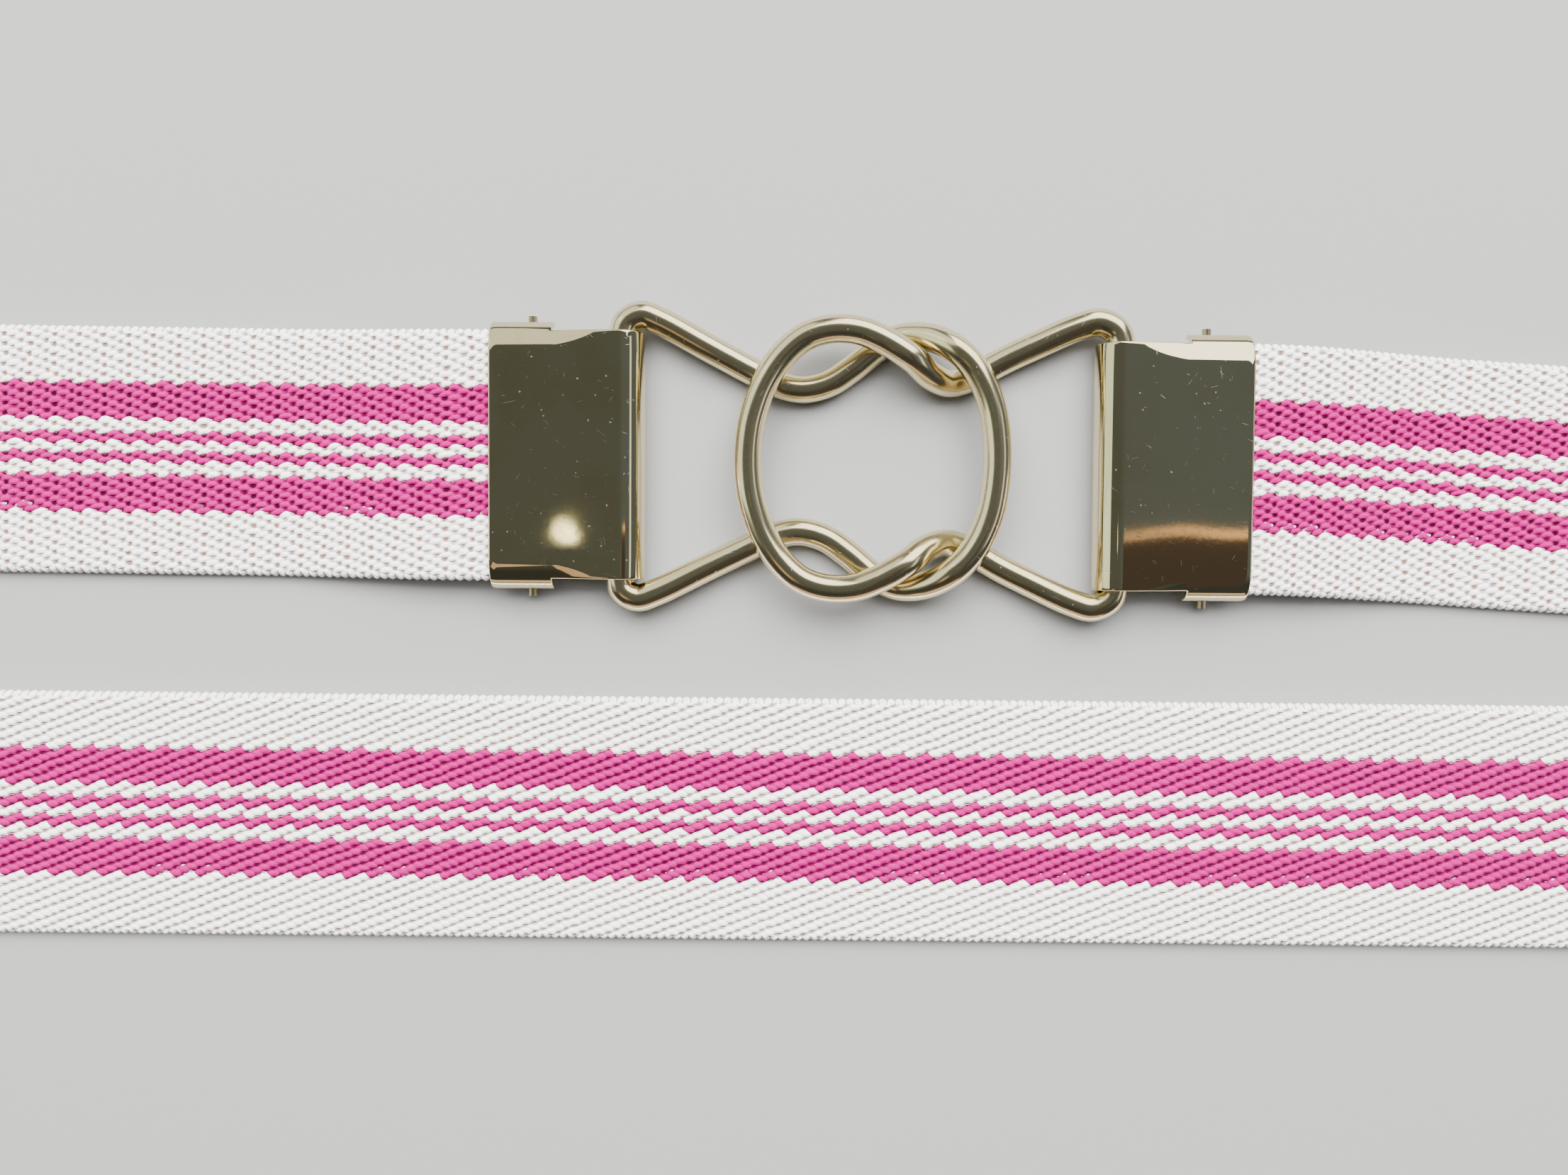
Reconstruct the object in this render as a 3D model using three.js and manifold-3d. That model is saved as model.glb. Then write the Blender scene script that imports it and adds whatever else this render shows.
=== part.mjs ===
import * as THREE from 'three';
import { mergeVertices } from 'three/addons/utils/BufferGeometryUtils.js';
import Module from 'manifold-3d';

// A closed elastic belt lying on a table. Millimetres, +Z up, table at Z = 0.
// X runs along the belt and Y across it, with the buckle's run on the +Y side.

// Webbing
const WEBBING_WIDTH = 25;
const WEBBING_THICKNESS = 1.5;
const SELVEDGE_CHAMFER = 0.45;

// Wire frames of the clasp
const WIRE_DIAMETER = 2.8;
const WIRE_SIDES = 12;
const WIRE_STEPS = 108;
const BUTT_GAP = 0.2; // between the wire's two ends, which meet inside the clip's barrel

// Folded sheet clips. Their own frame has the wire's bar along Y through X = 0.
const SHEET = 0.55;
const BARREL_RADIUS = 2.45; // outside
const CLIP_LENGTH = 12.8; // from the bar's axis to the mouth
const CLIP_WIDTH = 24.6;
const CLIP_TURN = 0.7; // degrees that the clips sit askew on their bars
const CLIP_SLIP = -0.2; // of the right clip along its bar, in Y
const EAR_LENGTH = 6.2;
const EAR_SPAN = 26.65; // over the outsides of the two ears
const EAR_BEND = 2.05; // outside radius
const EAR_BOTTOM = 0.2; // above the table
const LEAF_LENGTH = 3.95; // what returns under the barrel
const BAR_X = 24.95; // from the middle of the buckle to each bar

// Clamp gates, pivoted between the ears
const GATE_THICKNESS = 0.7;
const GATE_WIDTH = 24.3;
const GATE_CLEARANCE = 0.4;
const PIVOT_X = -9.05;
const PIVOT_Z = 1.3;
const PIN_RADIUS = 0.45;
const PIN_SPAN = 28.2; // over the ends of the two pins
const PIN_CLEARANCE = 0.3;
const JAW_WIDTH = 2;
const JAW_TOP = 1.8;

// How the belt lies
const BUCKLE_TURN = -1.1; // degrees
const STRAP_END = 7.2; // from a bar's axis to the webbing's end inside the clip
const STRAP_EXIT = 15; // from a bar's axis to where the webbing, out of the clip, starts to drop
const CLIP_LIFT = 2.1; // of the webbing's underside inside the clips
const BELT_REACH = 149.25; // from the middle of the buckle to each turn's far point
const TWIST_STEP = 3.6; // between sections where the webbing turns
const RUN_STEP = 9; // between sections where it lies flat

// Half of each wire frame, from its bar to its far limb. The other half mirrors it in Y.
// Its own frame has the bar on the -X side, and the far limb hooks the other wire frame.
const LEFT_WIRE = [
  // x, y, z of the centreline
  [-24.95, 6.0, 2.45],
  [-24.95, 12.1, 2.45],
  [-24.5, 13.45, 2.45],
  [-23.1, 14.15, 2.4],
  [-21.2, 13.55, 2.3],
  [-16.3, 11.05, 1.9],
  [-12.1, 8.95, 1.5],
  [-9.6, 7.75, 1.45],
  [-6.9, 7.2, 1.45],
  [-4.3, 7.8, 1.45],
  [-2.0, 9.3, 1.43],
  [1.05, 11.7, 1.44],
  [3.4, 12.6, 1.75],
  [5.9, 12.3, 3.1],
  [8.3, 10.95, 4.3],
  [10.25, 8.9, 4.5],
  [11.8, 5.6, 4.5],
  [12.45, 1.9, 4.5],
];
const RIGHT_WIRE = [
  [-24.95, 6.0, 2.45],
  [-24.95, 12.1, 2.45],
  [-24.4, 13.5, 2.45],
  [-22.75, 14.3, 2.4],
  [-20.8, 13.85, 2.3],
  [-16.4, 11.9, 1.9],
  [-13.2, 10.35, 1.55],
  [-10.6, 8.9, 1.44],
  [-8.1, 8.05, 1.6],
  [-5.9, 8.6, 2.9],
  [-3.95, 10.05, 4.2],
  [-1.05, 11.75, 4.5],
  [1.4, 12.65, 4.5],
  [4.2, 12.75, 4.5],
  [6.7, 11.95, 4.5],
  [8.85, 10.1, 4.5],
  [10.6, 7.4, 4.5],
  [11.75, 4.1, 4.5],
  [12.15, 1.4, 4.5],
];

// The webbing's long edge that stays on the table, in plan, from the right clip clockwise to the left one.
// heading: degrees; reach: length of the curve's handles; lean: degrees, +90 flat with its width inwards,
// 0 on edge, -90 flat with its width outwards; lift: of the underside; step: between sections from here on.
const STRAP_STATIONS = [
  { ...besideClip(1, STRAP_END, -1), reach: 2, lean: 90, lift: CLIP_LIFT, step: RUN_STEP },
  { ...besideClip(1, STRAP_EXIT, -1), reach: 6, lean: 90, lift: CLIP_LIFT, step: TWIST_STEP },
  { x: 60.5, y: 10.4, heading: -3.9, reach: 6, lean: 90, lift: 0, step: RUN_STEP },
  { x: 77, y: 9.3, heading: -3.7, reach: 18, lean: 90, lift: 0, step: TWIST_STEP },
  { x: BELT_REACH, y: -9.2, heading: -90, reach: 12, lean: 0, lift: 0, step: TWIST_STEP },
  { x: 92, y: -25.15, heading: -180.6, reach: 22, lean: -90, lift: 0, step: RUN_STEP },
  { x: -92, y: -23.25, heading: -180.6, reach: 22, lean: -90, lift: 0, step: TWIST_STEP },
  { x: -BELT_REACH, y: -4.2, heading: -270, reach: 13, lean: 0, lift: 0, step: TWIST_STEP },
  { x: -90, y: 13.95, heading: -360.9, reach: 20, lean: 90, lift: 0, step: RUN_STEP },
  { x: -60.5, y: 13.5, heading: -361, reach: 6, lean: 90, lift: 0, step: TWIST_STEP },
  { ...besideClip(-1, STRAP_EXIT, 0), reach: 6, lean: 90, lift: CLIP_LIFT, step: RUN_STEP },
  { ...besideClip(-1, STRAP_END, 0), reach: 2, lean: 90, lift: CLIP_LIFT, step: RUN_STEP },
];

const UP = new THREE.Vector3(0, 0, 1);
const wasm = await Module();
wasm.setup();

function radians(degrees) {
  return degrees * Math.PI / 180;
}

// The table edge of the webbing in or beside a clip, at a distance from that clip's bar.
// side: 1 right, -1 left; skew: degrees between the webbing and the clip
function besideClip(side, fromBar, skew) {
  const heading = BUCKLE_TURN + CLIP_TURN + skew;
  const bar = radians(BUCKLE_TURN);
  const clip = radians(BUCKLE_TURN + CLIP_TURN);
  const strap = radians(heading);
  const beyond = fromBar - STRAP_END;
  const outX = BAR_X * Math.cos(bar) + STRAP_END * Math.cos(clip) + beyond * Math.cos(strap);
  const outY = BAR_X * Math.sin(bar) + STRAP_END * Math.sin(clip) + beyond * Math.sin(strap);
  return {
    x: side * outX - WEBBING_WIDTH / 2 * Math.sin(strap),
    y: side * outY + WEBBING_WIDTH / 2 * Math.cos(strap) + (side > 0 ? CLIP_SLIP : 0),
    heading: side < 0 ? heading - 360 : heading,
  };
}

// Joining and cutting

function toSolid(geometry) {
  const bare = new THREE.BufferGeometry();
  bare.setAttribute('position', geometry.getAttribute('position').clone());
  bare.setIndex(geometry.getIndex());
  const merged = mergeVertices(bare, 1e-4);
  return new wasm.Manifold(new wasm.Mesh({
    numProp: 3,
    vertProperties: new Float32Array(merged.getAttribute('position').array),
    triVerts: new Uint32Array(merged.getIndex().array),
  }));
}

function toGeometry(solid) {
  const mesh = solid.getMesh();
  const geometry = new THREE.BufferGeometry();
  geometry.setAttribute('position', new THREE.BufferAttribute(mesh.vertProperties, 3));
  geometry.setIndex(new THREE.BufferAttribute(mesh.triVerts, 1));
  geometry.computeVertexNormals();
  return geometry;
}

// Extrudes an outline drawn in X and Z evenly to both sides of Y = 0.
function extrudeAcross(shape, width) {
  const geometry = new THREE.ExtrudeGeometry(shape, { depth: width, bevelEnabled: false, curveSegments: 9 });
  return geometry.rotateX(Math.PI / 2).translate(0, width / 2, 0);
}

// Extrudes an outline drawn in Y and Z from x0 to x1.
function extrudeAlong(shape, x0, x1) {
  const geometry = new THREE.ExtrudeGeometry(shape, { depth: x1 - x0, bevelEnabled: false, curveSegments: 5 });
  return geometry.rotateX(Math.PI / 2).rotateZ(Math.PI / 2).translate(x0, 0, 0);
}

function pinAcross(radius, x, z, length) {
  return new THREE.CylinderGeometry(radius, radius, length, 16).translate(x, 0, z);
}

// Folded sheet clip

function clipGeometry() {
  const plateTop = 2 * BARREL_RADIUS;
  const plateUnder = plateTop - SHEET;
  const boreRadius = BARREL_RADIUS - SHEET;
  const earRoot = EAR_LENGTH - CLIP_LENGTH; // X where the ears end

  // Plate, barrel round the bar, and the leaf that returns below it
  const fold = new THREE.Shape();
  fold.moveTo(earRoot, plateTop);
  fold.lineTo(0, plateTop);
  fold.absarc(0, BARREL_RADIUS, BARREL_RADIUS, Math.PI / 2, -Math.PI / 2, true);
  fold.lineTo(-LEAF_LENGTH, 0);
  fold.lineTo(-LEAF_LENGTH, SHEET);
  fold.lineTo(0, SHEET);
  fold.absarc(0, BARREL_RADIUS, boreRadius, -Math.PI / 2, Math.PI / 2, false);
  fold.lineTo(earRoot, plateUnder);
  fold.closePath();

  // Plate and folded ears at the mouth
  const half = EAR_SPAN / 2;
  const bendY = half - EAR_BEND;
  const bendZ = plateTop - EAR_BEND;
  const ears = new THREE.Shape();
  ears.moveTo(half, EAR_BOTTOM);
  ears.lineTo(half, bendZ);
  ears.absarc(bendY, bendZ, EAR_BEND, 0, Math.PI / 2, false);
  ears.lineTo(-bendY, plateTop);
  ears.absarc(-bendY, bendZ, EAR_BEND, Math.PI / 2, Math.PI, false);
  ears.lineTo(-half, EAR_BOTTOM);
  ears.lineTo(-half + SHEET, EAR_BOTTOM);
  ears.absarc(-bendY, bendZ, EAR_BEND - SHEET, Math.PI, Math.PI / 2, true);
  ears.absarc(bendY, bendZ, EAR_BEND - SHEET, Math.PI / 2, 0, true);
  ears.lineTo(half - SHEET, EAR_BOTTOM);
  ears.closePath();

  const overlap = 0.2; // so that the two folds join in one solid
  const joined = toSolid(extrudeAcross(fold, CLIP_WIDTH))
    .add(toSolid(extrudeAlong(ears, -CLIP_LENGTH, earRoot + overlap)));
  const holes = toSolid(pinAcross(PIN_RADIUS + PIN_CLEARANCE, PIVOT_X, PIVOT_Z, EAR_SPAN + 2));
  return toGeometry(joined.subtract(holes));
}

// Clamp gate: back plate, jaw under the webbing, and a pin through both ears

function gateGeometry() {
  const mouthEnd = GATE_CLEARANCE - CLIP_LENGTH;
  const barEnd = -LEAF_LENGTH - GATE_CLEARANCE;
  const outline = new THREE.Shape();
  outline.moveTo(mouthEnd, 0);
  outline.lineTo(barEnd, 0);
  outline.lineTo(barEnd, GATE_THICKNESS);
  outline.lineTo(PIVOT_X + JAW_WIDTH / 2, GATE_THICKNESS);
  outline.lineTo(PIVOT_X + JAW_WIDTH / 4, JAW_TOP);
  outline.lineTo(PIVOT_X - JAW_WIDTH / 4, JAW_TOP);
  outline.lineTo(PIVOT_X - JAW_WIDTH / 2, GATE_THICKNESS);
  outline.lineTo(mouthEnd, GATE_THICKNESS);
  outline.closePath();
  const plate = toSolid(extrudeAcross(outline, GATE_WIDTH));
  return toGeometry(plate.add(toSolid(pinAcross(PIN_RADIUS, PIVOT_X, PIVOT_Z, PIN_SPAN))));
}

// Bent wire frame, whose ends meet in the middle of its bar

function wireGeometry(half) {
  const [barX, , barZ] = half[0];
  const upper = half.map(([x, y, z]) => new THREE.Vector3(x, y, z));
  const lower = half.map(([x, y, z]) => new THREE.Vector3(x, -y, z)).reverse();
  const start = new THREE.Vector3(barX, BUTT_GAP / 2, barZ);
  const end = new THREE.Vector3(barX, -BUTT_GAP / 2, barZ);
  const path = new THREE.CatmullRomCurve3([start, ...upper, ...lower, end], false, 'centripetal');
  const section = new THREE.Shape();
  section.absarc(0, 0, WIRE_DIAMETER / 2, 0, 2 * Math.PI, false);
  return new THREE.ExtrudeGeometry(section, {
    steps: WIRE_STEPS,
    extrudePath: path,
    curveSegments: WIRE_SIDES / 2, // a full circle takes two points for each
  });
}

// Webbing

function ease(t) {
  return t * t * (3 - 2 * t);
}

// Where the webbing's section goes at every step: the table edge, the direction across the width
// from that edge, and the direction through the thickness
function strapFrames() {
  const frames = [];
  const addFrame = (point, along, lean, lift) => {
    const inwards = new THREE.Vector3(along.y, -along.x, 0);
    const across = inwards.multiplyScalar(Math.sin(lean)).setZ(Math.cos(lean));
    const through = new THREE.Vector3().crossVectors(along, across).normalize();
    const edge = point.clone().setZ(WEBBING_THICKNESS / 2 * Math.abs(Math.sin(lean)) + lift);
    frames.push({ edge, across, through });
  };
  for (let i = 0; i + 1 < STRAP_STATIONS.length; i++) {
    const from = STRAP_STATIONS[i];
    const to = STRAP_STATIONS[i + 1];
    const curve = stretch(from, to);
    const count = Math.max(1, Math.round(curve.getLength() / from.step));
    for (let k = i === 0 ? 0 : 1; k <= count; k++) {
      const t = k / count;
      const blend = ease(t);
      const lean = radians(THREE.MathUtils.lerp(from.lean, to.lean, blend));
      const lift = THREE.MathUtils.lerp(from.lift, to.lift, blend);
      addFrame(curve.getPointAt(t), curve.getTangentAt(t), lean, lift);
    }
  }
  return frames;
}

function stretch(from, to) {
  const start = new THREE.Vector3(from.x, from.y, 0);
  const end = new THREE.Vector3(to.x, to.y, 0);
  const leaving = new THREE.Vector3(from.reach, 0, 0).applyAxisAngle(UP, radians(from.heading));
  const arriving = new THREE.Vector3(to.reach, 0, 0).applyAxisAngle(UP, radians(to.heading));
  return new THREE.CubicBezierCurve3(start, start.clone().add(leaving), end.clone().sub(arriving), end);
}

function strapGeometry() {
  const half = WEBBING_THICKNESS / 2;
  const flank = half - SELVEDGE_CHAMFER;
  const far = WEBBING_WIDTH - SELVEDGE_CHAMFER;
  const section = [
    // across the width, through the thickness
    [0, -flank],
    [SELVEDGE_CHAMFER, -half],
    [far, -half],
    [WEBBING_WIDTH, -flank],
    [WEBBING_WIDTH, flank],
    [far, half],
    [SELVEDGE_CHAMFER, half],
    [0, flank],
  ];
  const rings = strapFrames().map(({ edge, across, through }) => section.map(
    ([u, w]) => edge.clone().addScaledVector(across, u).addScaledVector(through, w),
  ));
  return loft(rings);
}

// Joins rings of the same point count into a closed solid with flat ends.
function loft(rings) {
  const sides = rings[0].length;
  const index = [];
  for (let r = 0; r + 1 < rings.length; r++) {
    for (let s = 0; s < sides; s++) {
      const a = r * sides + s;
      const b = r * sides + (s + 1) % sides;
      index.push(a, b, b + sides, a, b + sides, a + sides);
    }
  }
  const last = (rings.length - 1) * sides;
  for (let s = 1; s + 1 < sides; s++) {
    index.push(0, s + 1, s);
    index.push(last, last + s, last + s + 1);
  }
  const geometry = new THREE.BufferGeometry().setFromPoints(rings.flat());
  geometry.setIndex(index);
  geometry.computeVertexNormals();
  return geometry;
}

// Materials

const GOLD_TONE = { color: '#b9a368', metalness: 1, roughness: 0.12 };
const GATE_METAL = { color: '#8d7a4e', metalness: 1, roughness: 0.35 };
const STRIPED_WEBBING = { color: '#ee7fc2', metalness: 0, roughness: 0.85 };

function part(name, geometry, look) {
  const mesh = new THREE.Mesh(geometry, new THREE.MeshStandardMaterial(look));
  mesh.name = name;
  return mesh;
}

// One half of the buckle, with its bar on the -X side. slip: of the clip along the bar
function buckleHalf(side, wire, slip) {
  const clip = part(`clip_${side}`, clipGeometry(), GOLD_TONE);
  const gate = part(`clamp_gate_${side}`, gateGeometry(), GATE_METAL);
  const clamp = new THREE.Group();
  clamp.add(clip, gate);
  clamp.position.set(-BAR_X, slip, 0);
  clamp.rotation.z = radians(CLIP_TURN);
  const group = new THREE.Group();
  group.add(clamp, part(`loop_${side}`, wireGeometry(wire), GOLD_TONE));
  return group;
}

const left = buckleHalf('left', LEFT_WIRE, 0);
const right = buckleHalf('right', RIGHT_WIRE, -CLIP_SLIP);
right.rotation.z = Math.PI;
const buckle = new THREE.Group();
buckle.add(left, right);
buckle.rotation.z = radians(BUCKLE_TURN);

const belt = new THREE.Group();
belt.add(part('webbing_strap', strapGeometry(), STRIPED_WEBBING), buckle);

// The origin is under the middle of the belt's box.
const box = new THREE.Box3().setFromObject(belt, true);
const group = new THREE.Group();
belt.position.set(-(box.min.x + box.max.x) / 2, -(box.min.y + box.max.y) / 2, -box.min.z);
group.add(belt);

export default group;
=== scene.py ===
"""Looks of a ribbon belt: striped elastic webbing and a gold-tone clasp of two hooked wire frames.

Metres, +Z up, table at Z = 0. X runs along the belt. The clasp's run is on the +Y side.
"""

import math

import bmesh
import bpy
import numpy as np
from mathutils import Matrix, Vector


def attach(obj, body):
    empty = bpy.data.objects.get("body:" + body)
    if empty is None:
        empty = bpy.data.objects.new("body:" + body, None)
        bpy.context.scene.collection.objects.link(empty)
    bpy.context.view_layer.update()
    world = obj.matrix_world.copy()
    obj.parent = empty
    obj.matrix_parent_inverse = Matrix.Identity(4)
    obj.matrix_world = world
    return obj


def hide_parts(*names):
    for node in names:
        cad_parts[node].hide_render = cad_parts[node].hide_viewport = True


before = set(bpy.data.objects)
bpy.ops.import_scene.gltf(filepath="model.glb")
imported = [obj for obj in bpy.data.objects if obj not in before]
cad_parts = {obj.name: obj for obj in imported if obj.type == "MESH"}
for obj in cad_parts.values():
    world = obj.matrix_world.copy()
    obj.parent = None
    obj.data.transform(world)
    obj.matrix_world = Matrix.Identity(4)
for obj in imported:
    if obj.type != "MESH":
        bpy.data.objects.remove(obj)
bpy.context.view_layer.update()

MM = 0.001
MIDDLE = Vector((0, 17.078, 0))  # of the clasp, in millimetres

# Webbing, in millimetres
WIDTH = 25.0
HALF_THICKNESS = 0.75
RELIEF = 0.2  # depth of the weave, inside the thickness
ROWS = 75  # of yarn across the width
ROW = WIDTH / ROWS
FLOAT_PITCH = 2.5  # from float to float along one yarn
SELVEDGE = 2 * ROW  # radius of the rounded edge
SELVEDGE_INSET = 0.12
SELVEDGE_LOOPS = 3  # in each pitch
STRIPES = (17, 28, 32, 35, 38, 41, 45, 56)  # yarn rows where white and pink change over, white first
FLECKED_ROW = 54  # a pink yarn that lets paler flecks through
# A yarn's float on each side of the webbing, and the pit beside it: half sizes, slopes, the float's arch, and the
# pit's narrowing towards +v and its shift along the yarn from halfway between two floats
FACE = {
    "length": 0.78, "height": 0.37, "tilt": -0.22, "arch": 0.15,
    "pit length": 0.32, "pit height": 0.2, "pit tilt": -0.22, "wedge": 0.45, "pit shift": -FLOAT_PITCH / 6,
}
BACK = {
    "length": 0.68, "height": 0.41, "tilt": 0.02, "arch": 0.15,
    "pit length": 0.3, "pit height": 0.16, "pit tilt": 0.3, "wedge": 0.4, "pit shift": 0.05 - FLOAT_PITCH / 6,
}
ARCH_LEVEL = 0.15  # square of the distance along a float where its arch crosses the row
PIT_SHARE = 0.85  # of a float's height, that the deepest pit takes away
FLOAT_FOOT = 0.12  # how far a float's dome goes on below its outline
WANDER_ALONG = 0.11
WANDER_ACROSS = 0.04
UNEVENNESS = 0.12  # of the floats' height, as a share
ALONG_STEP = FLOAT_PITCH / 6
STRAP_PIECES = 8
STRAP_END = 7.2  # where the webbing ends inside a clip, from the wire's bar
CLEAR_OF_CLIP = 15
LIFT_IN_CLIP = 2.1
CURVE_POINTS = 1201  # along each stretch of the webbing's path
TURN_X = 150 - HALF_THICKNESS

# Colours of a yarn: its painted shade deep in the weave, its own colour on top of it, and its paler fibres, which also
# paint a highlight on the floats' tops
WHITE_YARN_WITH_PAINTED_LIGHT = ((0.26, 0.15, 0.115), (0.94, 0.91, 0.9), (0.95, 0.935, 0.93))
PINK_YARN_WITH_PAINTED_LIGHT = ((0.04, 0.0, 0.012), (0.36, 0.0, 0.13), (0.46, 0.0, 0.2))
PALE_FLECK = (0.86, 0.6, 0.76)
SELVEDGE_YARN = (0.88, 0.86, 0.85)
SELVEDGE_SHADE = (0.42, 0.37, 0.36)

# Clasp, in millimetres
BAR_X = 24.95
BUCKLE_TURN = -1.1  # degrees
CLIP_TURN = 0.7
CLIP_SLIP = -0.2
WIRE_RADIUS = 1.4
BUTT_GAP = 0.2
SHEET = 0.55
BARREL_RADIUS = 2.45
CLIP_LENGTH = 12.8
CLIP_WIDTH = 24.6
EAR_LENGTH = 6.2
EAR_BEND = 2.05
ROLL_WIDTH = 2.9  # of the plate's edges, which roll down before the ears bend
ROLL_TILT = 30
ROLL_EASE = 1.5
ROLL_STEPS = 59
ROLL_START = 0.6  # from the barrel, where the roll starts to grow
ROLL_SPAN = CLIP_LENGTH - EAR_LENGTH - 0.9  # over which it grows
ROLL_LEAST = 0.12  # share of the roll that is left at the barrel
MOUTH_LIP = 0.7  # width of the plate's edge that turns down at the mouth
MOUTH_DROP = 0.07
EAR_HALF_SPAN = 26.65 / 2
EAR_BOTTOM = 0.2
LEAF_LENGTH = 3.95
PIN_X, PIN_Z = -9.05, 1.3
PIN_HOLE_RADIUS = 0.75
EAR_PAST = 0.6  # beyond the plate's edge, where only an ear is
NEAR = 1e-3  # tolerance for picking points by their place
PLATE_CELLS = (64, 82)  # along the clip and across it
BARREL_STEPS = 26
EAR_BEND_STEPS = 9
LEAF_STEPS = 4
EAR_STEPS = 4
EDGE_RADIUS = 0.14
SMOOTH_ANGLE = math.radians(40)
WIRE_STEP = 0.22  # along the wire's centreline
SCRATCH = (0.002, 0.00011, 0.002)  # length, width and depth, in metres

# Half of each wire frame's centreline, as in the solids
LEFT_WIRE = [
    (-24.95, 6.0, 2.45), (-24.95, 12.1, 2.45), (-24.5, 13.45, 2.45), (-23.1, 14.15, 2.4),
    (-21.2, 13.55, 2.3), (-16.3, 11.05, 1.9), (-12.1, 8.95, 1.5), (-9.6, 7.75, 1.45),
    (-6.9, 7.2, 1.45), (-4.3, 7.8, 1.45), (-2.0, 9.3, 1.43), (1.05, 11.7, 1.44),
    (3.4, 12.6, 1.75), (5.9, 12.3, 3.1), (8.3, 10.95, 4.3), (10.25, 8.9, 4.5),
    (11.8, 5.6, 4.5), (12.45, 1.9, 4.5),
]
RIGHT_WIRE = [
    (-24.95, 6.0, 2.45), (-24.95, 12.1, 2.45), (-24.4, 13.5, 2.45), (-22.75, 14.3, 2.4),
    (-20.8, 13.85, 2.3), (-16.4, 11.9, 1.9), (-13.2, 10.35, 1.55), (-10.6, 8.9, 1.44),
    (-8.1, 8.05, 1.6), (-5.9, 8.6, 2.9), (-3.95, 10.05, 4.2), (-1.05, 11.75, 4.5),
    (1.4, 12.65, 4.5), (4.2, 12.75, 4.5), (6.7, 11.95, 4.5), (8.85, 10.1, 4.5),
    (10.6, 7.4, 4.5), (11.75, 4.1, 4.5), (12.15, 1.4, 4.5),
]


# Camera, table and light


def add_camera():
    camera = bpy.data.objects.new("camera", bpy.data.cameras.new("camera"))
    bpy.context.scene.collection.objects.link(camera)
    camera.data.lens = 27.23
    camera.data.sensor_width = 36
    camera.data.clip_start = 0.005
    pitch = math.radians(2)  # the view tips slightly towards -Y
    height = 122
    seen = MIDDLE + Vector((-8.575, -12.762, 0))  # the point of the table in the middle of the view
    camera.location = (seen + Vector((0, height * math.sin(pitch), height * math.cos(pitch)))) * MM
    camera.rotation_euler = (-pitch, 0, 0)
    bpy.context.scene.camera = camera


# Area lights: name, place and aim in metres, size, power, colour, and whether the metal shows it
AREA_LIGHTS = [
    ("window", (0.28, 0.57, 0.45), (0, 0.01, 0), (0.66, 0.66), 5.4, (1.0, 0.99, 0.92), True),
    ("window_far", (-0.33, 0.57, 0.45), (0, 0.01, 0), (0.5, 0.66), 1.2, (0.98, 1.0, 0.9), True),
    ("left_card", (-0.5, 0.15, 0.3), (0, 0.02, 0), (0.52, 0.42), 0.9, (0.9, 1.0, 0.86), True),
    ("left_fill", (-0.55, -0.1, 0.33), (0, 0, 0), (0.3, 0.3), 0.06, (0.85, 1.0, 0.8), True),
    ("right_strip", (0.5, 0.0, 0.41), (0, 0.01, 0), (0.4, 0.1), 0.16, (1.0, 0.97, 0.88), True),
    ("warm_card", (-0.2, -0.2, 0.42), (-0.04, 0, 0), (0.1, 0.12), 0.03, (1.0, 0.66, 0.4), True),
    ("low_warm_card", (0.0, -0.5, 0.12), (0, 0.01, 0), (0.6, 0.1), 0.22, (1.0, 0.72, 0.5), True),
    ("softbox", (0.0, 0.42, 0.62), (0, 0, 0), (1.0, 0.5), 25.0, (1.0, 0.99, 0.98), False),
]


# Colours of the room round the belt
ROOM = {
    "west": (0.113, 0.124, 0.122), "east": (0.135, 0.158, 0.178), "south": (0.03, 0.028, 0.024),
    "panel": (0.085, 0.065, 0.058), "rim": (1.5, 0.9, 0.48), "lamp": (5.5, 5.2, 3.6), "horizon": (0.5, 0.5, 0.49),
}


def add_area_light(name, place, aim, size, power, colour, shows):
    light = bpy.data.lights.new(name, "AREA")
    light.shape = "RECTANGLE"
    light.size, light.size_y = size
    light.energy = power
    light.color = colour
    lamp = bpy.data.objects.new(name, light)
    lamp.location = place
    lamp.rotation_euler = (Vector(aim) - Vector(place)).to_track_quat("-Z", "Y").to_euler()
    lamp.visible_camera = False
    lamp.visible_glossy = shows
    bpy.context.scene.collection.objects.link(lamp)


def add_daylight(direction, strength):
    """Even light over the whole floor, which doesn't show in the metal."""
    light = bpy.data.lights.new("daylight", "SUN")
    light.energy = strength
    light.angle = math.radians(70)
    lamp = bpy.data.objects.new("daylight", light)
    lamp.rotation_euler = Vector(direction).to_track_quat("-Z", "Y").to_euler()
    lamp.visible_glossy = False
    bpy.context.scene.collection.objects.link(lamp)


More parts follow.
